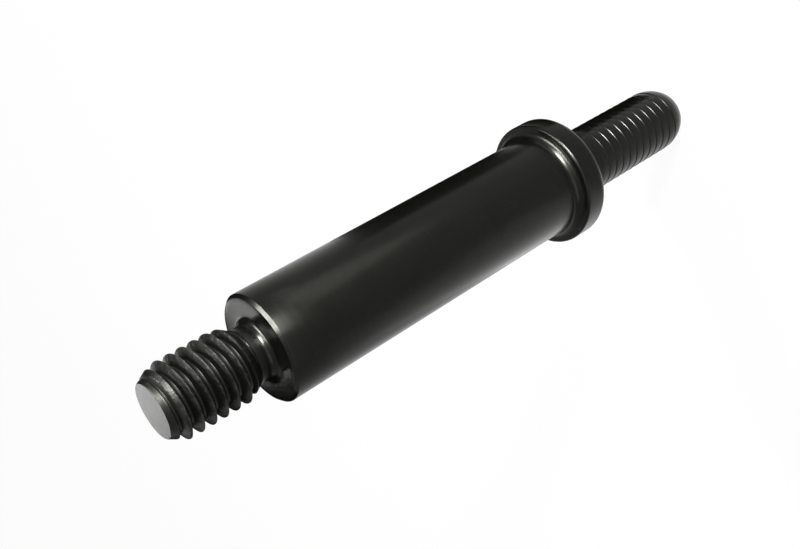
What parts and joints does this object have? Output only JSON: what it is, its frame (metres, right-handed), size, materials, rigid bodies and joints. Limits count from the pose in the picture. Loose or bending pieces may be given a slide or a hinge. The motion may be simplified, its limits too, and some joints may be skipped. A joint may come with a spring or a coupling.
{
  "type": "turned threaded stud",
  "caption": "Slim turned steel stud: a plain round barrel between a shoulder and a collar, with a threaded end on each side, for carrying a roller, bush or lever.",
  "frame": {"origin": "centre of the flat end face of the lower, longer stud, on which the part stands", "axes": "+Z along the turning axis, from the lower stud through the collar and barrel to the upper stud; X and Y square to it"},
  "size_m": [0.0112, 0.0112, 0.058],
  "materials": {
    "black_oxide_steel": "black oxide, oiled, satin turned surface"
  },
  "bodies": {
    "root": {"turned_stud": "black_oxide_steel"}
  },
  "joints": []
}
